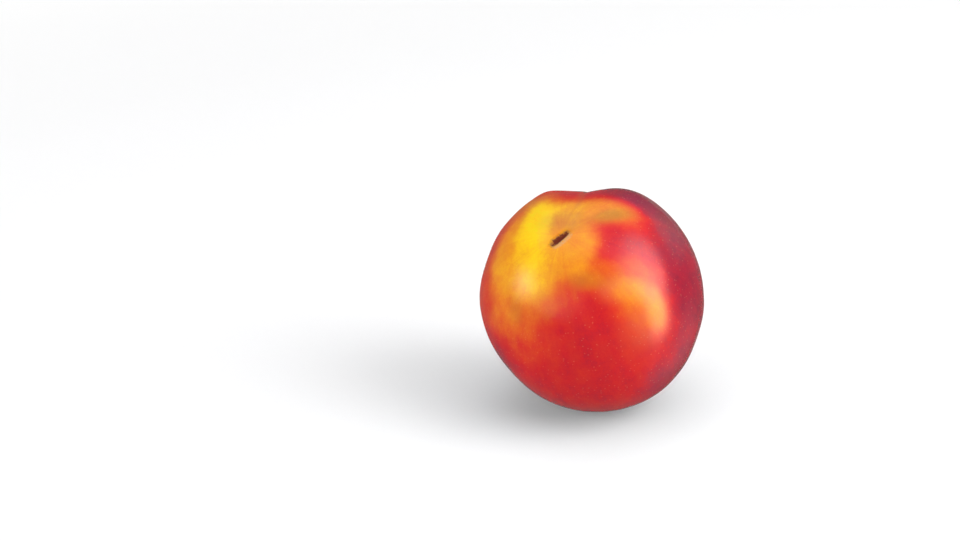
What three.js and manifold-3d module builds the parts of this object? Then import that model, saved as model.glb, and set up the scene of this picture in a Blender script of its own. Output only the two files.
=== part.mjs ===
/**
 * A ripe nectarine: one whole fruit that rests on its lower shoulder, with its blossom end leaning forward
 * and to the left. It grew as one piece, so it is one solid. The seam, the blossom scar, the stem hollow and
 * the stem scar on the floor of that hollow are relief on its skin.
 *
 * Units are millimetres and +Z is up. The origin is the middle of the small flat spot that the fruit rests
 * on, and its front faces -Y.
 *
 * The skin is worked out in the fruit's own frame, where the core line runs up +Z from the stem hollow to
 * the blossom end, and the seam lies on the +X side. Two angles give a place on the skin: fromTip, measured
 * at the centre from the blossom end, and fromSeam, measured round the core line from the seam.
 */
import * as THREE from "three";
import { mergeVertices } from "three/addons/utils/BufferGeometryUtils.js";
import Module from "manifold-3d";

const { clamp, degToRad, smoothstep } = THREE.MathUtils;

// Flesh: half the width through the seam, half the width through the cheeks, and half the height.
const HALF_SEAM_WIDTH = 34.2;
const HALF_CHEEK_WIDTH = 33.4;
const HALF_HEIGHT = 35.6;
const CHEEK_FULLNESS = 0.74; // one cheek swells by this much, and the other is as much flatter

// Seam: a broad valley from the blossom scar to the stem hollow, deepest on the crown and on the shoulder,
// with a thin crease along its floor and a soft lobe on either side of it on the crown.
const SEAM_DEPTH = 1.6;
const SEAM_HALF_WIDTH = 9.3;
const SEAM_START = degToRad(30); // fromTip where the valley has its full depth
const SEAM_END = [degToRad(158), degToRad(176)]; // fromTip between which it runs out into the hollow
const CROWN = { extraDepth: 1.0, fromTip: degToRad(54), span: degToRad(20) };
const SHOULDER = { extraDepth: 1.0, fromTip: degToRad(150), span: degToRad(14) };
const CREASE = { depth: 0.25, halfWidth: 1.3, start: degToRad(8), end: [degToRad(165), degToRad(174)] };
const LOBE = { rise: 0.46, offset: 14, halfWidth: 9, fromTip: degToRad(50), span: degToRad(30) };
const SEAM_BEND = degToRad(-49); // the seam curls round the core line by this much as it meets the scar
const SEAM_BEND_REACH = degToRad(15);
const SEAM_SIDE = [-0.15, 0.35]; // cosine of fromSeam between which the seam's side fades in
const SEAM_SIDE_ONSET = 6; // how soon, away from either end, the seam's side is told from the other

// Blossom end: a shallow dimple with a slit across it, a little off the core line, where the flower's style
// broke off.
const DIMPLE = { depth: 0.9, reach: degToRad(9) };
const SLIT = { depth: 1.0, halfLength: 3.4, halfWidth: 1.05, offset: -0.9, turn: degToRad(-45) };

// Stem end: a funnel, a little longer along the seam, with the stem's scar as a low ring on its floor.
const HOLLOW = { depth: 9, reach: degToRad(12.5), steepness: 3.2, ovalness: 0.12 };
const STEM_SCAR = { rise: 0.5, fromStem: degToRad(4.6), span: degToRad(1.5) };

// Unevenness of a grown fruit: each lump's place, how far it stands out or sinks in, and its spread.
const LUMPS = [
  { fromTip: degToRad(70), fromSeam: degToRad(100), rise: 0.5, spread: degToRad(15) }, // left cheek
  { fromTip: degToRad(95), fromSeam: degToRad(135), rise: -0.5, spread: degToRad(15) }, // flatter below it
  { fromTip: degToRad(50), fromSeam: degToRad(25), rise: 0.5, spread: degToRad(6) }, // crown by the seam
  { fromTip: degToRad(55), fromSeam: degToRad(65), rise: 0.3, spread: degToRad(10) }, // upper left
  { fromTip: degToRad(125), fromSeam: degToRad(-145), rise: 0.3, spread: degToRad(15) }, // lower right
  { fromTip: degToRad(115), fromSeam: degToRad(-105), rise: -0.3, spread: degToRad(10) }, // flatter right
  { fromTip: degToRad(110), fromSeam: degToRad(50), rise: 0.35, spread: degToRad(20) }, // back
  { fromTip: degToRad(140), fromSeam: degToRad(-35), rise: -0.35, spread: degToRad(20) }, // flatter low back
];

// Rest: the core line leans from upright, towards a heading taken from +X, with the seam turned to the back.
const LEAN = degToRad(37.3);
const LEAN_HEADING = degToRad(-117.9);
const SEAM_TURN = degToRad(-162.1);
const FLAT_SPOT_DEPTH = 0.75; // how far the skin is pressed flat where the fruit rests

// Faceting: columns are closer beside the seam, and rows are closer at both ends.
const COLUMNS = 92;
const ROWS = 46;
const COLUMN_CLOSENESS = 0.55;
const ROW_CLOSENESS = 0.75;

const CUTTER_SIZE = 100; // larger than the fruit
const WELD = 1e-3; // vertices nearer than this are one

const SKIN = { color: 0xdd7042, roughness: 0.4, metalness: 0 };

const wasm = await Module();
wasm.setup();

/** 1 at no distance, falling smoothly to nothing a few spans away. */
function bell(distance, span) {
  return Math.exp(-((distance / span) ** 2));
}

/** The unit vector at two angles in the fruit's own frame. */
function directionAt(fromTip, fromSeam) {
  return new THREE.Vector3(
    Math.sin(fromTip) * Math.cos(fromSeam),
    Math.sin(fromTip) * Math.sin(fromSeam),
    Math.cos(fromTip),
  );
}

/** The flesh without its relief. */
function fleshRadius(direction) {
  const { x, y, z } = direction;
  const egg = 1 / Math.hypot(x / HALF_SEAM_WIDTH, y / HALF_CHEEK_WIDTH, z / HALF_HEIGHT);
  return egg + CHEEK_FULLNESS * y * Math.abs(y) * (1 - z * z);
}

/** The valley, crease and lobes of the seam. */
function seamRelief(fromTip, fromSeam) {
  const turned = fromSeam - SEAM_BEND * Math.exp(-fromTip / SEAM_BEND_REACH);
  const across = HALF_SEAM_WIDTH * Math.sin(fromTip) * Math.sin(turned);
  const atEnd = Math.min(1, SEAM_SIDE_ONSET * Math.sin(fromTip));
  const side = smoothstep(Math.cos(turned) * atEnd, ...SEAM_SIDE);
  const depth =
    SEAM_DEPTH * smoothstep(fromTip, 0, SEAM_START) * (1 - smoothstep(fromTip, ...SEAM_END)) +
    CROWN.extraDepth * bell(fromTip - CROWN.fromTip, CROWN.span) +
    SHOULDER.extraDepth * bell(fromTip - SHOULDER.fromTip, SHOULDER.span);
  const valley = depth * bell(across, SEAM_HALF_WIDTH);
  const creaseLength = smoothstep(fromTip, 0, CREASE.start) * (1 - smoothstep(fromTip, ...CREASE.end));
  const crease = CREASE.depth * creaseLength * bell(across, CREASE.halfWidth);
  const lobes =
    LOBE.rise *
    bell(fromTip - LOBE.fromTip, LOBE.span) *
    (bell(across - LOBE.offset, LOBE.halfWidth) + bell(across + LOBE.offset, LOBE.halfWidth));
  return side * (lobes - valley - crease);
}

/** The dimple at the blossom end and the slit across it. */
function blossomRelief(fromTip, fromSeam) {
  const dimple = DIMPLE.depth * bell(fromTip, DIMPLE.reach);
  const along = HALF_HEIGHT * Math.sin(fromTip) * Math.cos(fromSeam - SLIT.turn) - SLIT.offset;
  const across = HALF_HEIGHT * Math.sin(fromTip) * Math.sin(fromSeam - SLIT.turn);
  const facing = fromTip < Math.PI / 2 ? 1 : 0;
  const slit = SLIT.depth * facing * bell((along / SLIT.halfLength) ** 2, 1) * bell(across, SLIT.halfWidth);
  return -dimple - slit;
}

/** The funnel at the stem end and the ring that the stem left on its floor. */
function stemRelief(fromTip, fromSeam) {
  const fromStem = Math.PI - fromTip;
  const reach = HOLLOW.reach * (1 + HOLLOW.ovalness * Math.cos(2 * fromSeam));
  const funnel = HOLLOW.depth / (1 + (fromStem / reach) ** HOLLOW.steepness);
  return STEM_SCAR.rise * bell(fromStem - STEM_SCAR.fromStem, STEM_SCAR.span) - funnel;
}

/** The lumps and flat places. */
function lumpRelief(direction) {
  return LUMPS.reduce(
    (sum, lump) =>
      sum + lump.rise * bell(direction.angleTo(directionAt(lump.fromTip, lump.fromSeam)), lump.spread),
    0,
  );
}

/** The point of the skin at two angles in the fruit's own frame. */
function skinPoint(fromTip, fromSeam) {
  const direction = directionAt(fromTip, fromSeam);
  const radius =
    fleshRadius(direction) +
    seamRelief(fromTip, fromSeam) +
    blossomRelief(fromTip, fromSeam) +
    stemRelief(fromTip, fromSeam) +
    lumpRelief(direction);
  return direction.multiplyScalar(radius);
}

/** Only positions are kept, so that shared corners become one vertex and the mesh closes. */
function welded(geometry) {
  geometry.deleteAttribute("normal");
  geometry.deleteAttribute("uv");
  return mergeVertices(geometry, WELD);
}

/** The whole skin in the fruit's own frame: a globe whose vertices are moved out to the skin. */
function skinGeometry() {
  const globe = welded(new THREE.SphereGeometry(1, COLUMNS, ROWS).rotateX(Math.PI / 2));
  const position = globe.getAttribute("position");
  const point = new THREE.Vector3();
  for (let i = 0; i < position.count; i++) {
    point.fromBufferAttribute(position, i);
    const row = Math.acos(clamp(point.z, -1, 1));
    const column = Math.atan2(point.y, point.x);
    const fromTip = row - (ROW_CLOSENESS / 2) * Math.sin(2 * row);
    const fromSeam = column - COLUMN_CLOSENESS * Math.sin(column);
    position.setXYZ(i, ...skinPoint(fromTip, fromSeam));
  }
  return globe;
}

/** Turns the fruit as it rests, with its lowest point sunk below Z = 0 by the depth of the flat spot. */
function laidDown(geometry) {
  geometry.rotateZ(SEAM_TURN).rotateY(LEAN).rotateZ(LEAN_HEADING);
  geometry.computeBoundingBox();
  return geometry.translate(0, 0, -geometry.boundingBox.min.z - FLAT_SPOT_DEPTH);
}

function solidOf(geometry) {
  return new wasm.Manifold(
    new wasm.Mesh({
      numProp: 3,
      vertProperties: geometry.getAttribute("position").array,
      triVerts: new Uint32Array(geometry.index.array),
    }),
  );
}

function geometryOf(solid) {
  const mesh = solid.getMesh();
  return new THREE.BufferGeometry()
    .setAttribute("position", new THREE.BufferAttribute(mesh.vertProperties, 3))
    .setIndex(new THREE.BufferAttribute(mesh.triVerts, 1));
}

/** Cuts away what lies below Z = 0, which leaves the flat spot. */
function withFlatSpot(geometry) {
  const below = welded(
    new THREE.BoxGeometry(CUTTER_SIZE, CUTTER_SIZE, CUTTER_SIZE).translate(0, 0, -CUTTER_SIZE / 2),
  );
  return geometryOf(solidOf(geometry).subtract(solidOf(below)));
}

/** Moves the middle of the flat spot to the origin. */
function centredOnFlatSpot(geometry) {
  const position = geometry.getAttribute("position");
  const flatSpot = new THREE.Box3();
  const point = new THREE.Vector3();
  for (let i = 0; i < position.count; i++) {
    point.fromBufferAttribute(position, i);
    if (Math.abs(point.z) < WELD) flatSpot.expandByPoint(point);
  }
  const middle = flatSpot.getCenter(new THREE.Vector3());
  return geometry.translate(-middle.x, -middle.y, 0);
}

function nectarine() {
  const geometry = centredOnFlatSpot(withFlatSpot(laidDown(skinGeometry())));
  geometry.computeVertexNormals();
  const mesh = new THREE.Mesh(geometry, new THREE.MeshStandardMaterial(SKIN));
  mesh.name = "nectarine";
  return mesh;
}

const fruit = new THREE.Group();
fruit.add(nectarine());

export default fruit;
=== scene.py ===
"""A ripe nectarine in soft studio light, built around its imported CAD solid.

Blender works in metres. The formulas of the skin work in millimetres, because they repeat the ones that the
solid was made with, under like names. They are worked out in the fruit's own frame: the core line runs up +Z
from the stem hollow to the blossom end, and the seam lies on the +X side. from_tip is an angle at the centre
from the blossom end, and from_seam is an angle round the core line from the seam.
"""

import math
from collections import namedtuple

import bpy
import numpy as np
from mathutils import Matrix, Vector, noise


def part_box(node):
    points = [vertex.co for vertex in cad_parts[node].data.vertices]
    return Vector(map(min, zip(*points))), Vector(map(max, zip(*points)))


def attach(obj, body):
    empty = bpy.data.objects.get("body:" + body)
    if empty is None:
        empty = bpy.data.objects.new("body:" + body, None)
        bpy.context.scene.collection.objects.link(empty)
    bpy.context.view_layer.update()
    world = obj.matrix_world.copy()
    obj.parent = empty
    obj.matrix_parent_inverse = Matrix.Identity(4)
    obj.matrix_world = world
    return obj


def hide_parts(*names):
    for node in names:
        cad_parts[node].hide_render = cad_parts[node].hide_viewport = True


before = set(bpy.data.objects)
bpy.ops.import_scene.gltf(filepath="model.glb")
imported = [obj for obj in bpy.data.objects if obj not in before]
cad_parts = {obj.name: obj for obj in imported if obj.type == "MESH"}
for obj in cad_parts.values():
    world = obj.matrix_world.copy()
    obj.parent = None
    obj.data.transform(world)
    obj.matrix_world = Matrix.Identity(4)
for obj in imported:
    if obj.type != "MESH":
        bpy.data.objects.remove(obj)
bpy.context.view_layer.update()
NODE = "nectarine"
MM = 0.001

# ---------------------------------------------------------------- form, as in the solid

# Flesh: half the width through the seam, half the width through the cheeks, and half the height.
HALF_SEAM_WIDTH = 34.2
HALF_CHEEK_WIDTH = 33.4
HALF_HEIGHT = 35.6
CHEEK_FULLNESS = 0.74  # one cheek swells by this much, and the other is as much flatter

# Seam: a broad valley from the blossom scar to the stem hollow, deepest on the crown and on the shoulder,
# with a thin crease along its floor and a soft lobe on either side of it on the crown.
SEAM_DEPTH = 1.6
SEAM_HALF_WIDTH = 9.3
SEAM_START = math.radians(30)  # from_tip where the valley has its full depth
SEAM_END = (math.radians(158), math.radians(176))  # from_tip between which it runs out into the hollow
CROWN_EXTRA_DEPTH, CROWN_FROM_TIP, CROWN_SPAN = 1.0, math.radians(54), math.radians(20)
SHOULDER_EXTRA_DEPTH, SHOULDER_FROM_TIP, SHOULDER_SPAN = 1.0, math.radians(150), math.radians(14)
CREASE_DEPTH, CREASE_HALF_WIDTH = 0.25, 1.3
CREASE_START = math.radians(8)
CREASE_END = (math.radians(165), math.radians(174))
LOBE_RISE, LOBE_OFFSET, LOBE_HALF_WIDTH = 0.46, 14, 9
LOBE_FROM_TIP, LOBE_SPAN = math.radians(50), math.radians(30)
SEAM_BEND = math.radians(-49)  # the seam curls round the core line by this much as it meets the scar
SEAM_BEND_REACH = math.radians(15)
SEAM_SIDE = (-0.15, 0.35)  # cosine of from_seam between which the seam's side fades in
SEAM_SIDE_ONSET = 6  # how soon, away from either end, the seam's side is told from the other

# Blossom end: a shallow dimple with a slit across it, a little off the core line.
DIMPLE_DEPTH, DIMPLE_REACH = 0.9, math.radians(9)
SLIT_DEPTH, SLIT_HALF_LENGTH, SLIT_HALF_WIDTH = 1.0, 3.4, 1.05
SLIT_OFFSET = -0.9
SLIT_TURN = math.radians(-45)
FAR_FROM_SLIT = 9  # in half heights: where the stem's half of the skin is taken to lie

# Stem end: a funnel, a little longer along the seam, with the stem's scar as a low ring on its floor.
HOLLOW_DEPTH, HOLLOW_REACH = 9, math.radians(12.5)
HOLLOW_STEEPNESS, HOLLOW_OVALNESS = 3.2, 0.12
STEM_SCAR_RISE, STEM_SCAR_FROM_STEM, STEM_SCAR_SPAN = 0.5, math.radians(4.6), math.radians(1.5)

# Unevenness of a grown fruit: each lump's place, how far it stands out or sinks in, and its spread.
Lump = namedtuple("Lump", "from_tip from_seam rise spread")  # degrees, degrees, mm, degrees
LUMPS = [
    Lump(70, 100, 0.5, 15),  # left cheek
    Lump(95, 135, -0.5, 15),  # flatter below it
    Lump(50, 25, 0.5, 6),  # crown by the seam
    Lump(55, 65, 0.3, 10),  # upper left
    Lump(125, -145, 0.3, 15),  # lower right
    Lump(115, -105, -0.3, 10),  # flatter right
    Lump(110, 50, 0.35, 20),  # back
    Lump(140, -35, -0.35, 20),  # flatter low back
]

# Rest: the core line leans from upright, towards a heading taken from +X, with the seam turned to the back.
LEAN = math.radians(37.3)
LEAN_HEADING = math.radians(-117.9)
SEAM_TURN = math.radians(-162.1)
FLAT_SPOT_DEPTH = 0.75  # how far the skin is pressed flat where the fruit rests

# Mesh: columns are closer beside the seam, and rows are closer at both ends. There are more of both than in
# the solid.
COLUMNS, ROWS = 320, 240
COLUMN_CLOSENESS, ROW_CLOSENESS = 0.55, 0.75

# ---------------------------------------------------------------- form, finer than the solid

FLAT_SPOT_ROUNDING = 0.25  # mm over which the skin turns into the flat spot
SWELLS = ((0.10, 9.0), (0.035, 3.2))  # depth and wavelength in mm of the skin's faint unevenness
LIP_RISE, LIP_OFFSET, LIP_SPAN = 0.12, 1.5, 0.55  # the corky lips of the slit
SCAR_FIBRES, SCAR_FIBRE_DEPTH = 26, 0.10  # torn fibres around the stem scar

# ---------------------------------------------------------------- where the colours lie

# Where the blush lies: 0 is the yellow ground and 1 is the deepest crimson. A patch has its middle at an
# azimuth (0 faces the front, + is to the right) and an elevation on the resting fruit, half sizes, a turn
# anticlockwise and a softness of its edge. All are in degrees but the softness and the value.
Patch = namedtuple("Patch", "azimuth elevation half_width half_height turn softness value")
BLUSH_BASE = 0.77
BLUSH_PATCHES = [
    Patch(90, 12, 47, 64, 0, 0.20, 0.95),  # crimson right cheek
    Patch(102, 57, 33, 28, 0, 0.30, 1.00),  # crimson crest behind it
    Patch(180, 5, 40, 45, 0, 0.40, 0.90),  # deep red back
    Patch(8, -38, 60, 22, 0, 0.50, 0.82),  # deeper belly
    Patch(-105, 5, 34, 50, 0, 0.35, 0.66),  # red beyond the left cheek
    Patch(-140, 30, 16, 34, 20, 0.45, 0.46),  # orange streak behind the left cheek
    Patch(150, -56, 19, 19, 0, 0.40, 0.60),  # paler star around the stem hollow
    Patch(172, -42, 6, 17, 15, 0.60, 0.42),  # one long ray of that star
    Patch(-62, -20, 16, 15, 0, 0.40, 0.88),  # crimson under the left cheek
    Patch(0, 10, 20, 26, 0, 0.40, 0.81),  # red middle of the front
    Patch(58, -28, 22, 20, 0, 0.40, 0.93),  # crimson under the right cheek
    Patch(23, 49, 16, 14, 15, 0.36, 0.85),  # crimson right of the blossom end
    Patch(-34, -6, 12, 10, 0, 0.50, 0.66),  # orange red below the left cheek
    Patch(-52, 18, 31, 22, 25, 0.28, 0.48),  # orange left cheek
    Patch(-76, 5, 13, 20, 0, 0.40, 0.68),  # redder left edge of it
    Patch(-26, 24, 12, 8, 0, 0.50, 0.54),  # orange below the yellow
    Patch(-60, 34, 15, 22, 20, 0.30, 0.31),  # paler orange, far left
    Patch(-8, 73, 24, 10, 0, 0.35, 0.37),  # gold over the seam
    Patch(-35, 69, 9, 7, 0, 0.40, 0.26),  # paler gold left of it
    Patch(-92, 53, 17, 12, 0, 0.40, 0.46),  # gold on the left crest
    Patch(15, 36, 17, 7, -5, 0.50, 0.58),  # orange red over the crescent
    Patch(-6, 34, 10, 6, 0, 0.45, 0.53),  # orange below the gold
    Patch(-18, 49, 13, 17, 0, 0.25, 0.33),  # gold around the blossom end
    Patch(-27, 37, 8, 6, 0, 0.40, 0.30),  # gold under it
    Patch(-38, 27, 11, 10, 0, 0.40, 0.26),  # gold below the yellow
    Patch(-50, 47, 10, 26, 38, 0.35, 0.15),  # yellow ground
    Patch(-60, 56, 8, 12, 40, 0.50, 0.05),  # lemon yellow core
    Patch(25, 20, 15, 11, -45, 0.50, 0.54),  # orange inside the crescent
    Patch(22, 26, 11, 6, -20, 0.40, 0.36),  # upper arm of the pale crescent
    Patch(33, 15, 6, 11, 14, 0.32, 0.40),  # lower arm of it
]
CREAM_AND_HIGHLIGHT_PATCHES = [  # where the ground pales to cream on the crescent: partly the skin's paler patch, partly a painted highlight
    Patch(12, 28, 8, 6, 0, 0.50, 0.25),
    Patch(25, 10, 10, 12, 0, 0.50, 0.15),
    Patch(33, 15, 6, 11, 14, 0.50, 0.3),
]
OLIVE_AND_SHADE_PATCHES = [  # where the colour dulls to olive brown: russet flecks, and painted shade in the seam's groove above the blossom end
    Patch(19, 67, 9, 4, 0, 0.50, 0.85),
    Patch(-4, 32, 8, 4, 0, 0.50, 0.45),
    # painted shade in the seam's groove above the blossom end
    Patch(-33, 61, 10, 6, 20, 0.50, 0.60),
    Patch(-42, 10, 4, 5, 0, 0.60, 0.35),
]

SLIT_SCAR_AND_SHADE_TAPER = 0.25  # the slit's dark, the dried scar's brown with painted shade of the groove, narrows towards one end
CORK_OFFSET, CORK_HALF_LENGTH, CORK_HALF_WIDTH = -1.2, 1.15 * SLIT_HALF_LENGTH, 1.7  # beside the slit
HOLLOW_SHADE_EDGE = (math.radians(6), math.radians(15))  # angles at the centre from the stem, over which the hollow's painted shade fades out
SCAR_STAIN_EDGE = (math.radians(4.2), math.radians(7.4))  # likewise

# ---------------------------------------------------------------- colours, linear

SKIN_RAMP = [  # blush, colour
    (0.00, (0.86, 0.66, 0.006)),
    (0.12, (0.92, 0.56, 0.006)),
    (0.28, (0.80, 0.32, 0.008)),
    (0.42, (0.72, 0.170, 0.008)),
    (0.56, (0.66, 0.080, 0.008)),
    (0.70, (0.61, 0.022, 0.010)),
    (0.82, (0.54, 0.006, 0.012)),
    (0.92, (0.34, 0.006, 0.024)),
    (1.00, (0.22, 0.006, 0.026)),
]
# pale cream: partly the skin's own paler ground, partly a painted highlight
CREAM_AND_HIGHLIGHT = (0.90, 0.42, 0.12)
# olive brown of russet flecks, also used as painted shade in the seam's groove
OLIVE_AND_SHADE = (0.42, 0.19, 0.012)
LENTICEL = (0.95, 0.50, 0.25)
CORK = (0.52, 0.33, 0.16)
# the seam's crease: a darker suture line, with painted shade of the groove
CREASE_TAN_AND_SHADE = (0.50, 0.20, 0.03)
# the dried scar's brown in the slit, darkened further as painted shade of the groove
SLIT_SCAR_AND_SHADE = (0.12, 0.010, 0.001)
# painted shade: the stem hollow darkened as if in its own shadow
HOLLOW_SHADE = (0.16, 0.035, 0.012)
SCAR_RAMP = [(0.38, (0.09, 0.035, 0.014)), (0.62, (0.33, 0.19, 0.08))]  # fibres from brown to tan

# ---------------------------------------------------------------- grain and gloss of the skin

# A texture is a noise: how many cells it has to a radius of the fruit, its detail and its roughness.
Texture = namedtuple("Texture", "scale detail roughness", defaults=(2.0, 0.5))
STREAKS = Texture(1.0, 4.0, 0.6)
STREAK_CELLS = (9, 9, 2.2)  # of the streaks, round the core line and along it
MOTTLES = Texture(7.0, 4.0, 0.6)
GRAIN = Texture(60.0, 3.0, 0.7)
CORK_CRUMBS = Texture(60.0)
SLIT_RAGS = Texture(75.0, 3.0, 0.6)
FIBRES = Texture(55.0, 5.0, 0.7)
TEARS = Texture(16.0, 4.0, 0.65)
WAX = Texture(9.0, 3.0)
DIMPLES = Texture(28.0)
PORES = Texture(120.0)
LENTICEL_SCALE = 26.0

# How far a texture moves the blush, or the edge of the stem's scar.
STREAK_SWAY, GRAIN_SWAY, TEAR_SWAY = 0.16, 0.16, 1.3

# A range is two readings and what each of them turns into, which is 0 and 1 where nothing else is given.
MOTTLE_SWAY = (0.75, 0.95, 0.28, 0.17)  # from the blush: mottles are weaker in the crimson
PATCH_BREAKS = (0.30, 0.70, 0.5, 1.0)  # from the mottles: how they break up the cream and the olive
LENTICEL_EDGE = (0.10, 0.19, 1.0, 0.0)  # from the distance to a lenticel's middle
LENTICEL_STRENGTH = (0.35, 0.8, 0.03, 0.13)  # from the blush
CREASE_STRENGTH = (0.40, 0.65, 0.04, 0.26)  # from the streaks
CORK_EDGE, CORK_BREAKS = (0.35, 0.75), (0.3, 0.55)  # from the cork's field, and from its crumbs
SLIT_EDGE, SLIT_BREAKS = (0.12, 0.55), (0.3, 0.7, 0.45, 1.55)  # from the slit's field, and from its rags
SCAR_EDGE = (0.40, 0.62)  # from the torn field of the stem's scar
WAX_ROUGHNESS = (0.3, 0.7, 0.20, 0.27)

CORK_STRENGTH, HOLLOW_SHADE_STRENGTH = 0.8, 0.85
DRY_ROUGHNESS = 0.85  # of cork, slit and scar
DIMPLE_BUMP, PORE_BUMP = (0.12, 0.0004), (0.10, 0.0001)  # strength and depth in metres
SKIN_SHADER = {
    "IOR": 1.42,
    "Specular IOR Level": 0.5,
    "Subsurface Weight": 0.12,
    "Subsurface Radius": (1.0, 0.35, 0.15),
    "Subsurface Scale": 0.003,
}

# ---------------------------------------------------------------- camera and studio

FRAME_WIDTH_PX, FRAME_HEIGHT_PX = 960, 540
SENSOR_WIDTH, LENS = 36, 85  # mm
CLIP_START = 0.01  # metres
CAMERA_DISTANCE = 0.685  # metres
CAMERA_ELEVATION = math.radians(24)
FRUIT_CENTRE_PX = (594.0, 294.7)  # where the fruit's centre falls in the picture
FRUIT_CENTRE = Vector((-0.0004, 0.0, 0.0341))  # metres

FLOOR_HALF_WIDTH = 4.0  # metres
FLOOR_FADE = (0.25, 0.50)  # metres from the fruit over which the floor turns white
FLOOR_SHADER = {"Base Color": (0.92, 0.92, 0.93), "Roughness": 0.7, "Specular IOR Level": 0.2}

# A softbox is a white oval light that faces the fruit from a direction. Its distance and sizes are in metres,
# and its power in watts. One that is for gloss stands partly below the floor, which only reflected rays pass.
# One that is for fill doesn't show in the gloss.
Softbox = namedtuple("Softbox", "name direction distance width height power use")
SOFTBOXES = [
    Softbox("softbox_right", (0.81, -0.23, 0.54), 0.9, 1.12, 1.15, 7.6, "both"),
    Softbox("strip_right", (0.96, -0.27, -0.05), 0.9, 0.54, 1.15, 2.9, "gloss"),
    Softbox("strip_back", (0.80, 0.15, -0.58), 0.9, 1.40, 1.10, 0.7, "gloss"),
    Softbox("softbox_left", (-0.96, -0.17, 0.22), 1.0, 0.70, 0.42, 1.4, "both"),
    Softbox("softbox_top", (0.0, 0.15, 1.0), 1.4, 3.6, 3.6, 12.0, "both"),
    Softbox("softbox_front", (-0.70, -0.69, 0.18), 1.4, 3.8, 2.6, 8.0, "both"),
    Softbox("softbox_back", (0.56, 0.77, 0.32), 1.0, 1.4, 1.1, 0.7, "both"),
    Softbox("fill_top", (0.0, 0.15, 1.0), 1.4, 3.0, 3.0, 8.0, "fill"),
    Softbox("fill_front", (-0.70, -0.69, 0.18), 1.4, 3.0, 2.2, 12.5, "fill"),
]
OVAL_MIDDLE = (0.5, 0.5, 0)  # as shares of a softbox's width and height
SOFTBOX_FADE = {"From Min": 0.18, "From Max": 0.5, "To Min": 1.9, "To Max": 0.0}  # over the way from there
WORLD_LIGHT = 0.18  # how strongly the white backdrop lights the fruit


def bell(distance, span):
    """1 at no distance, falling smoothly to nothing a few spans away."""
    return np.exp(-((distance / span) ** 2))


def smoothstep(value, low, high):
    """0 up to low, 1 from high on, and smooth between them."""
    share = np.clip((value - low) / (high - low), 0, 1)
    return share * share * (3 - 2 * share)


def direction_at(from_tip, from_seam):
    """Unit vectors at two angles in the fruit's own frame."""
    x = np.sin(from_tip) * np.cos(from_seam)
    y = np.sin(from_tip) * np.sin(from_seam)
    return np.stack([x, y, np.cos(from_tip)], axis=-1)


def angle_between(directions, direction):
    return np.arccos(np.clip(directions @ direction, -1, 1))


# ---------------------------------------------------------------- the skin's form


def flesh_radius(direction):
    """The flesh without its relief."""
    x, y, z = direction[..., 0], direction[..., 1], direction[..., 2]
    egg = 1 / np.sqrt((x / HALF_SEAM_WIDTH) ** 2 + (y / HALF_CHEEK_WIDTH) ** 2 + (z / HALF_HEIGHT) ** 2)
    return egg + CHEEK_FULLNESS * y * np.abs(y) * (1 - z * z)


def across_seam(from_tip, from_seam):
    """Distance in mm from the seam's line, and how much a place is on the seam's side of the fruit."""
    uncurled = from_seam - SEAM_BEND * np.exp(-from_tip / SEAM_BEND_REACH)
    across = HALF_SEAM_WIDTH * np.sin(from_tip) * np.sin(uncurled)
    at_end = np.minimum(1, SEAM_SIDE_ONSET * np.sin(from_tip))
    return across, smoothstep(np.cos(uncurled) * at_end, *SEAM_SIDE)


def crease_strength(from_tip):
    return smoothstep(from_tip, 0, CREASE_START) * (1 - smoothstep(from_tip, *CREASE_END))


def seam_relief(from_tip, from_seam):
    """The valley, crease and lobes of the seam."""
    across, side = across_seam(from_tip, from_seam)
    depth = (
        SEAM_DEPTH * smoothstep(from_tip, 0, SEAM_START) * (1 - smoothstep(from_tip, *SEAM_END))
        + CROWN_EXTRA_DEPTH * bell(from_tip - CROWN_FROM_TIP, CROWN_SPAN)
        + SHOULDER_EXTRA_DEPTH * bell(from_tip - SHOULDER_FROM_TIP, SHOULDER_SPAN)
    )
    valley = depth * bell(across, SEAM_HALF_WIDTH)
    crease = CREASE_DEPTH * crease_strength(from_tip) * bell(across, CREASE_HALF_WIDTH)
    lobes = (
        LOBE_RISE
        * bell(from_tip - LOBE_FROM_TIP, LOBE_SPAN)
        * (bell(across - LOBE_OFFSET, LOBE_HALF_WIDTH) + bell(across + LOBE_OFFSET, LOBE_HALF_WIDTH))
    )
    return side * (lobes - valley - crease)


def slit_place(from_tip, from_seam):
    """Distances in mm along and across the slit at the blossom end; far away on the stem's half."""
    away = HALF_HEIGHT * np.where(from_tip < math.pi / 2, np.sin(from_tip), FAR_FROM_SLIT)
    return away * np.cos(from_seam - SLIT_TURN) - SLIT_OFFSET, away * np.sin(from_seam - SLIT_TURN)


def within_length(along, half_length):
    """1 along most of a slit's length, falling steeply to nothing past its ends."""
    return bell((along / half_length) ** 2, 1)


def blossom_relief(from_tip, from_seam):
    """The dimple at the blossom end, the slit across it and the slit's lips."""
    along, across = slit_place(from_tip, from_seam)
    within = within_length(along, SLIT_HALF_LENGTH)
    slit = SLIT_DEPTH * within * bell(across, SLIT_HALF_WIDTH)
    lips = LIP_RISE * within * bell(np.abs(across) - LIP_OFFSET, LIP_SPAN)
    return lips - slit - DIMPLE_DEPTH * bell(from_tip, DIMPLE_REACH)


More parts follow.
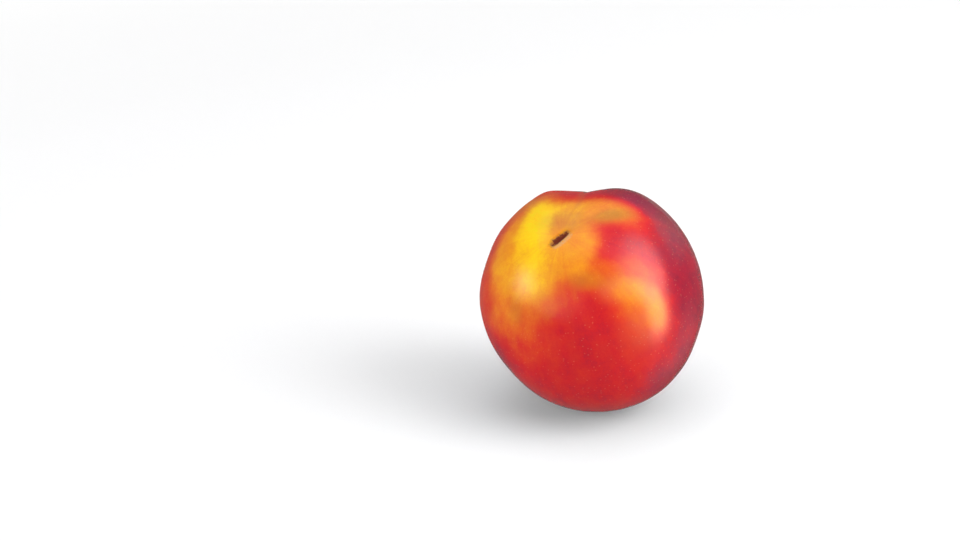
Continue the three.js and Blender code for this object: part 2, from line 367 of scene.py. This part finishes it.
def stem_relief(from_tip, from_seam):
    """The funnel at the stem end, and the torn ring that the stem left on its floor."""
    from_stem = math.pi - from_tip
    reach = HOLLOW_REACH * (1 + HOLLOW_OVALNESS * np.cos(2 * from_seam))
    funnel = HOLLOW_DEPTH / (1 + (from_stem / reach) ** HOLLOW_STEEPNESS)
    at_scar = bell(from_stem - STEM_SCAR_FROM_STEM, STEM_SCAR_SPAN)
    fibres = SCAR_FIBRE_DEPTH * np.cos(SCAR_FIBRES * from_seam) * at_scar
    return STEM_SCAR_RISE * at_scar + fibres - funnel


def lump_relief(direction):
    """The lumps and flat places."""
    total = np.zeros(direction.shape[:-1])
    for lump in LUMPS:
        middle = direction_at(math.radians(lump.from_tip), math.radians(lump.from_seam))
        total += lump.rise * bell(angle_between(direction, middle), math.radians(lump.spread))
    return total


def swell_relief(direction):
    """The skin's faint unevenness, from smooth noise."""
    total = np.zeros(len(direction))
    for depth, wavelength in SWELLS:
        places = direction * (HALF_HEIGHT / wavelength)
        total += depth * np.array([noise.noise(Vector(place)) for place in places])
    return total


def skin_grid():
    """The two angles of every vertex: the tip, a ring of vertices for each row, and the stem's middle."""
    row = np.linspace(0, math.pi, ROWS + 1)[1:-1]
    column = np.linspace(-math.pi, math.pi, COLUMNS, endpoint=False)
    from_tip = row - ROW_CLOSENESS / 2 * np.sin(2 * row)
    from_seam = column - COLUMN_CLOSENESS * np.sin(column)
    grid = np.meshgrid(from_tip, from_seam, indexing="ij")
    tip, stem = (0.0, 0.0), (math.pi, 0.0)
    return tuple(np.concatenate([[tip[i]], grid[i].ravel(), [stem[i]]]) for i in (0, 1))


def skin_faces():
    """Triangles at both ends, and faces with four corners from each ring to the next."""
    pairs = [(a, (a + 1) % COLUMNS) for a in range(COLUMNS)]
    faces = [(0, 1 + a, 1 + b) for a, b in pairs]
    for row in range(ROWS - 2):
        upper = 1 + row * COLUMNS
        lower = upper + COLUMNS
        faces += [(upper + a, lower + a, lower + b, upper + b) for a, b in pairs]
    last = 1 + (ROWS - 2) * COLUMNS
    stem = last + COLUMNS
    return faces + [(last + a, stem, last + b) for a, b in pairs]


def turned(points, axis, angle):
    """Points turned about the world's Y or Z axis."""
    cos, sin = math.cos(angle), math.sin(angle)
    matrix = {
        "Y": np.array([[cos, 0, sin], [0, 1, 0], [-sin, 0, cos]]),
        "Z": np.array([[cos, -sin, 0], [sin, cos, 0], [0, 0, 1]]),
    }[axis]
    return points @ matrix.T


def as_it_rests(points):
    """From the fruit's own frame to the way it lies."""
    return turned(turned(turned(points, "Z", SEAM_TURN), "Y", LEAN), "Z", LEAN_HEADING)


def laid_down(points):
    """Sinks the lowest point by the flat spot's depth, then presses what is below the floor flat."""
    height = points[:, 2] - points[:, 2].min() - FLAT_SPOT_DEPTH
    pressed = (height + np.sqrt(height**2 + FLAT_SPOT_ROUNDING**2)) / 2
    return np.column_stack([points[:, :2], pressed - pressed.min()])


def set_against_node(points):
    """Moves the skin sideways so that its box has the CAD node's middle. Points are in mm."""
    low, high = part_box(NODE)
    node_middle = np.array((low + high) / 2)[:2] / MM
    middle = (points.min(axis=0) + points.max(axis=0))[:2] / 2
    points[:, :2] += node_middle - middle
    return points


# ---------------------------------------------------------------- fields that the material reads


def patch_mask(direction, patch):
    """1 inside a patch and 0 outside. direction is as the fruit rests."""
    azimuth, elevation, turn = (math.radians(a) for a in (patch.azimuth, patch.elevation, patch.turn))
    east = np.array([math.cos(azimuth), math.sin(azimuth), 0])
    level = np.array([math.sin(azimuth), -math.cos(azimuth), 0])
    middle = math.cos(elevation) * level + np.array([0, 0, math.sin(elevation)])
    north = np.cross(middle, east)
    gap = np.degrees(angle_between(direction, middle))
    x, y = direction @ east, direction @ north
    length = np.maximum(np.hypot(x, y), 1e-9)  # never 0, at the patch's very middle
    x, y = gap * x / length, gap * y / length
    along = x * math.cos(turn) + y * math.sin(turn)
    up = y * math.cos(turn) - x * math.sin(turn)
    edge = np.hypot(along / patch.half_width, up / patch.half_height) - 1
    return 1 / (1 + np.exp(2 * edge / patch.softness))


def painted(direction, base, patches):
    """A field that starts at base everywhere and takes the value of one patch after another inside it."""
    field = np.full(len(direction), float(base))
    for patch in patches:
        field += (patch.value - field) * patch_mask(direction, patch)
    return field


def colour_fields(from_tip, from_seam):
    """Every field that the material reads, one value or one vector for each vertex."""
    own = direction_at(from_tip, from_seam)
    resting = as_it_rests(own)
    along, across = slit_place(from_tip, from_seam)
    seam_across, seam_side = across_seam(from_tip, from_seam)
    scar_and_shade_half_width = SLIT_HALF_WIDTH * (1 - SLIT_SCAR_AND_SHADE_TAPER * np.tanh(along / SLIT_HALF_LENGTH))
    from_stem = math.pi - from_tip
    return {
        "blush": painted(resting, BLUSH_BASE, BLUSH_PATCHES),
        "cream": painted(resting, 0, CREAM_AND_HIGHLIGHT_PATCHES),
        "olive": painted(resting, 0, OLIVE_AND_SHADE_PATCHES),
        "crease": seam_side * crease_strength(from_tip) * bell(seam_across, CREASE_HALF_WIDTH),
        "slit": within_length(along, SLIT_HALF_LENGTH) * bell(across, scar_and_shade_half_width),
        "cork": within_length(along, CORK_HALF_LENGTH) * bell(across - CORK_OFFSET, CORK_HALF_WIDTH),
        # how much painted shade darkens the stem hollow
        "hollow": 1 - smoothstep(from_stem, *HOLLOW_SHADE_EDGE),
        "scar": 1 - smoothstep(from_stem, *SCAR_STAIN_EDGE),
        "own_place": own,
        "meridian": np.stack([np.cos(from_seam), np.sin(from_seam), from_tip / math.pi], axis=-1),
    }


def skin_object():
    from_tip, from_seam = skin_grid()
    own = direction_at(from_tip, from_seam)
    radius = (
        flesh_radius(own)
        + seam_relief(from_tip, from_seam)
        + blossom_relief(from_tip, from_seam)
        + stem_relief(from_tip, from_seam)
        + lump_relief(own)
        + swell_relief(own)
    )
    points = set_against_node(laid_down(as_it_rests(own * radius[:, None])))
    mesh = bpy.data.meshes.new("nectarine_skin")
    mesh.from_pydata((points * MM).tolist(), [], skin_faces())
    mesh.shade_smooth()
    for name, values in colour_fields(from_tip, from_seam).items():
        kind, key = ("FLOAT", "value") if values.ndim == 1 else ("FLOAT_VECTOR", "vector")
        mesh.attributes.new(name, kind, "POINT").data.foreach_set(key, values.ravel())
    skin = bpy.data.objects.new("nectarine_skin", mesh)
    bpy.context.scene.collection.objects.link(skin)
    return skin


# ---------------------------------------------------------------- materials


class Nodes:
    """A short way to write a node tree: a method adds a node and returns its output."""

    # The colour sockets of a Mix node, which share their names with its other ones.
    MIX_SHARE, MIX_A, MIX_B, MIX_RESULT = 0, 6, 7, 2

    def __init__(self, owner, shader="BSDF_PRINCIPLED"):
        owner.use_nodes = True
        self.tree = owner.node_tree
        self.shader = self.first(shader)

    def first(self, kind):
        return next(node for node in self.tree.nodes if node.type == kind)

    def put(self, socket, value):
        if isinstance(value, bpy.types.NodeSocket):
            self.tree.links.new(value, socket)
        elif socket.type == "RGBA":
            socket.default_value = (*value, 1)
        else:
            socket.default_value = value

    def put_all(self, node, inputs):
        for key, value in inputs.items():
            self.put(node.inputs[key], value)

    def shade(self, inputs):
        """Sets inputs of the tree's shader."""
        self.put_all(self.shader, inputs)

    def add(self, kind, inputs=(), **settings):
        """Adds a node and returns the node itself."""
        node = self.tree.nodes.new(kind)
        for name, value in settings.items():
            setattr(node, name, value)
        self.put_all(node, dict(inputs))
        return node

    def field(self, name):
        return self.add("ShaderNodeAttribute", attribute_name=name).outputs["Fac"]

    def vector_field(self, name):
        return self.add("ShaderNodeAttribute", attribute_name=name).outputs["Vector"]

    def noise(self, place, texture):
        inputs = {"Scale": texture.scale, "Detail": texture.detail, "Roughness": texture.roughness}
        return self.add("ShaderNodeTexNoise", {"Vector": place, **inputs}).outputs["Fac"]

    def math(self, operation, a, b=0.0, c=0.0):
        return self.add("ShaderNodeMath", {0: a, 1: b, 2: c}, operation=operation).outputs[0]

    def remap(self, value, low, high, to_low=0.0, to_high=1.0):
        inputs = {"Value": value, "From Min": low, "From Max": high, "To Min": to_low, "To Max": to_high}
        return self.add("ShaderNodeMapRange", inputs).outputs["Result"]

    def swayed(self, value, texture, amount):
        """A value that a texture moves up and down, by as much as it differs from its middle, 0.5."""
        return self.math("MULTIPLY_ADD", self.math("SUBTRACT", texture, 0.5), amount, value)

    def stretch(self, vector, scale):
        return self.add("ShaderNodeVectorMath", {0: vector, 1: scale}, operation="MULTIPLY").outputs[0]

    def mix(self, share, a, b):
        inputs = {self.MIX_SHARE: share, self.MIX_A: a, self.MIX_B: b}
        return self.add("ShaderNodeMix", inputs, data_type="RGBA").outputs[self.MIX_RESULT]

    def ramp(self, value, stops):
        node = self.add("ShaderNodeValToRGB", {"Fac": value})
        elements = node.color_ramp.elements
        while len(elements) < len(stops):
            elements.new(0.5)
        for element, (place, colour) in zip(elements, stops):
            element.position = place
            element.color = (*colour, 1)
        return node.outputs["Color"]

    def bump(self, height, strength, distance, under=None):
        """A normal roughened by height, on top of the normal under it if there is one."""
        node = self.add("ShaderNodeBump", {"Height": height, "Strength": strength, "Distance": distance})
        if under is not None:
            self.put(node.inputs["Normal"], under)
        return node.outputs["Normal"]


def ground_colour(n, place, blush, streaks):
    """The blush, broken up into streaks, soft mottles and grain, with its cream places, partly a painted
    highlight, and its olive places, partly painted shade.
    """
    mottles = n.noise(place, MOTTLES)
    shifted = n.swayed(blush, streaks, STREAK_SWAY)
    shifted = n.swayed(shifted, mottles, n.remap(blush, *MOTTLE_SWAY))
    shifted = n.swayed(shifted, n.noise(place, GRAIN), GRAIN_SWAY)
    colour = n.ramp(shifted, SKIN_RAMP)
    broken = n.remap(mottles, *PATCH_BREAKS)
    # cream on the crescent: partly paler skin, partly a painted highlight
    colour = n.mix(n.math("MULTIPLY", n.field("cream"), broken), colour, CREAM_AND_HIGHLIGHT)
    # olive brown: russet flecks, and painted shade in the seam's groove
    return n.mix(n.math("MULTIPLY", n.field("olive"), broken), colour, OLIVE_AND_SHADE)


def lenticel_share(n, place, blush):
    """Pale pin pricks all over the blush."""
    dots = n.add("ShaderNodeTexVoronoi", {"Vector": place, "Scale": LENTICEL_SCALE})
    pricks = n.remap(dots.outputs["Distance"], *LENTICEL_EDGE)
    return n.math("MULTIPLY", pricks, n.remap(blush, *LENTICEL_STRENGTH))


def crease_share(n, streaks):
    return n.math("MULTIPLY", n.field("crease"), n.remap(streaks, *CREASE_STRENGTH))


def cork_share(n, place):
    crumbs = n.remap(n.noise(place, CORK_CRUMBS), *CORK_BREAKS)
    return n.math("MULTIPLY", n.remap(n.field("cork"), *CORK_EDGE), crumbs)


def slit_share(n, place):
    ragged = n.remap(n.noise(place, SLIT_RAGS), *SLIT_BREAKS)
    return n.remap(n.math("MULTIPLY", n.field("slit"), ragged), *SLIT_EDGE)


def scar_share(n, place):
    torn = n.swayed(n.field("scar"), n.noise(place, TEARS), TEAR_SWAY)
    return n.remap(torn, *SCAR_EDGE)


def skin_material():
    """Waxy skin over the ground's colour, with a duller crease and dry scars in colours of their own; painted
    shade darkens the crease, the slit and the stem hollow.
    """
    material = bpy.data.materials.new("nectarine_skin")
    n = Nodes(material)
    place, blush = n.vector_field("own_place"), n.field("blush")
    streaks = n.noise(n.stretch(n.vector_field("meridian"), STREAK_CELLS), STREAKS)
    cork, slit, scar = cork_share(n, place), slit_share(n, place), scar_share(n, place)

    colour = ground_colour(n, place, blush, streaks)
    colour = n.mix(lenticel_share(n, place, blush), colour, LENTICEL)
    # the crease: the suture's darker line and painted shade of its groove
    colour = n.mix(crease_share(n, streaks), colour, CREASE_TAN_AND_SHADE)
    colour = n.mix(n.math("MULTIPLY", cork, CORK_STRENGTH), colour, CORK)
    # the slit: the dried scar's colour with painted shade of its groove
    colour = n.mix(slit, colour, SLIT_SCAR_AND_SHADE)
    # painted shade darkens the stem hollow
    colour = n.mix(n.math("MULTIPLY", n.field("hollow"), HOLLOW_SHADE_STRENGTH), colour, HOLLOW_SHADE)
    colour = n.mix(scar, colour, n.ramp(n.noise(place, FIBRES), SCAR_RAMP))

    waxy = n.remap(n.noise(place, WAX), *WAX_ROUGHNESS)
    dry = n.math("MAXIMUM", n.math("MAXIMUM", cork, slit), scar)
    rough = n.math("MAXIMUM", waxy, n.math("MULTIPLY", dry, DRY_ROUGHNESS))

    normal = n.bump(n.noise(place, DIMPLES), *DIMPLE_BUMP)
    normal = n.bump(n.noise(place, PORES), *PORE_BUMP, normal)

    n.shade({"Base Color": colour, "Roughness": rough, "Normal": normal, **SKIN_SHADER})
    return material


def floor_material():
    """A matt pale floor that turns into the white backdrop some way from the fruit."""
    material = bpy.data.materials.new("studio_floor")
    n = Nodes(material)
    n.shade(FLOOR_SHADER)
    place = n.add("ShaderNodeTexCoord").outputs["Object"]
    away = n.add("ShaderNodeVectorMath", {0: place}, operation="LENGTH").outputs["Value"]
    white = n.add("ShaderNodeEmission").outputs["Emission"]
    both = n.add("ShaderNodeMixShader", {"Fac": n.remap(away, *FLOOR_FADE), 1: n.shader.outputs[0], 2: white})
    n.put(n.first("OUTPUT_MATERIAL").inputs["Surface"], both.outputs["Shader"])
    return material


# ---------------------------------------------------------------- studio


def floor():
    half = FLOOR_HALF_WIDTH
    corners = [(-half, -half, 0), (half, -half, 0), (half, half, 0), (-half, half, 0)]
    mesh = bpy.data.meshes.new("studio_floor")
    mesh.from_pydata(corners, [], [(0, 1, 2, 3)])
    mesh.materials.append(floor_material())
    stage = bpy.data.objects.new("studio_floor", mesh)
    bpy.context.scene.collection.objects.link(stage)
    stage.visible_glossy = False  # its white stays out of the skin's gloss


def fade_towards_edge(light):
    """A softbox's cloth is brightest in its middle. The mean over the oval stays near what power says."""
    n = Nodes(light, "EMISSION")
    place = n.add("ShaderNodeNewGeometry").outputs["Parametric"]
    away = n.add("ShaderNodeVectorMath", {0: place, 1: OVAL_MIDDLE}, operation="DISTANCE").outputs["Value"]
    fade = n.add("ShaderNodeMapRange", {"Value": away, **SOFTBOX_FADE}, interpolation_type="SMOOTHSTEP")
    n.shade({"Strength": fade.outputs["Result"]})


def softbox_light(box):
    light = bpy.data.lights.new(box.name, "AREA")
    light.shape = "ELLIPSE"
    light.size = box.width
    light.size_y = box.height
    light.energy = box.power
    # The skin is hidden from the floor's diffuse rays. With this off, none of them reaches the light through
    # the fruit, so the shadow stays dark.
    light.cycles.use_multiple_importance_sampling = box.use == "gloss"
    lamp = bpy.data.objects.new(box.name, light)
    towards = Vector(box.direction).normalized()
    lamp.location = FRUIT_CENTRE + towards * box.distance
    lamp.rotation_euler = towards.to_track_quat("Z", "Y").to_euler()
    lamp.visible_glossy = box.use != "fill"
    if lamp.visible_glossy:
        fade_towards_edge(light)
    bpy.context.scene.collection.objects.link(lamp)


def backdrop():
    """White where it is seen, and dim where it lights the fruit."""
    world = bpy.data.worlds.new("studio")
    n = Nodes(world, "BACKGROUND")
    seen = n.add("ShaderNodeLightPath").outputs["Is Camera Ray"]
    n.shade({"Color": (1, 1, 1), "Strength": n.remap(seen, 0, 1, WORLD_LIGHT, 1)})
    bpy.context.scene.world = world


def camera():
    """Looks along +Y and down, aimed so that the fruit's centre falls where FRUIT_CENTRE_PX says."""
    right = Vector((1, 0, 0))
    back = Vector((0, -math.cos(CAMERA_ELEVATION), math.sin(CAMERA_ELEVATION)))
    up = back.cross(right)
    focal_px = LENS / SENSOR_WIDTH * FRAME_WIDTH_PX
    aside = (FRUIT_CENTRE_PX[0] - FRAME_WIDTH_PX / 2) / focal_px * CAMERA_DISTANCE
    below = (FRUIT_CENTRE_PX[1] - FRAME_HEIGHT_PX / 2) / focal_px * CAMERA_DISTANCE
    place = FRUIT_CENTRE + back * CAMERA_DISTANCE
    aim = FRUIT_CENTRE - right * aside + up * below
    lens = bpy.data.cameras.new("camera")
    lens.lens = LENS
    lens.sensor_width = SENSOR_WIDTH
    lens.clip_start = CLIP_START
    view = bpy.data.objects.new("camera", lens)
    view.location = place
    view.rotation_euler = (aim - place).to_track_quat("-Z", "Y").to_euler()
    bpy.context.scene.collection.objects.link(view)
    bpy.context.scene.camera = view


def main():
    skin = skin_object()
    skin.data.materials.append(skin_material())
    skin.visible_diffuse = False  # keeps its red off the white floor
    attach(skin, "root")
    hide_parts(NODE)
    floor()
    for box in SOFTBOXES:
        softbox_light(box)
    backdrop()
    camera()
    bpy.context.scene.view_settings.view_transform = "Standard"


main()
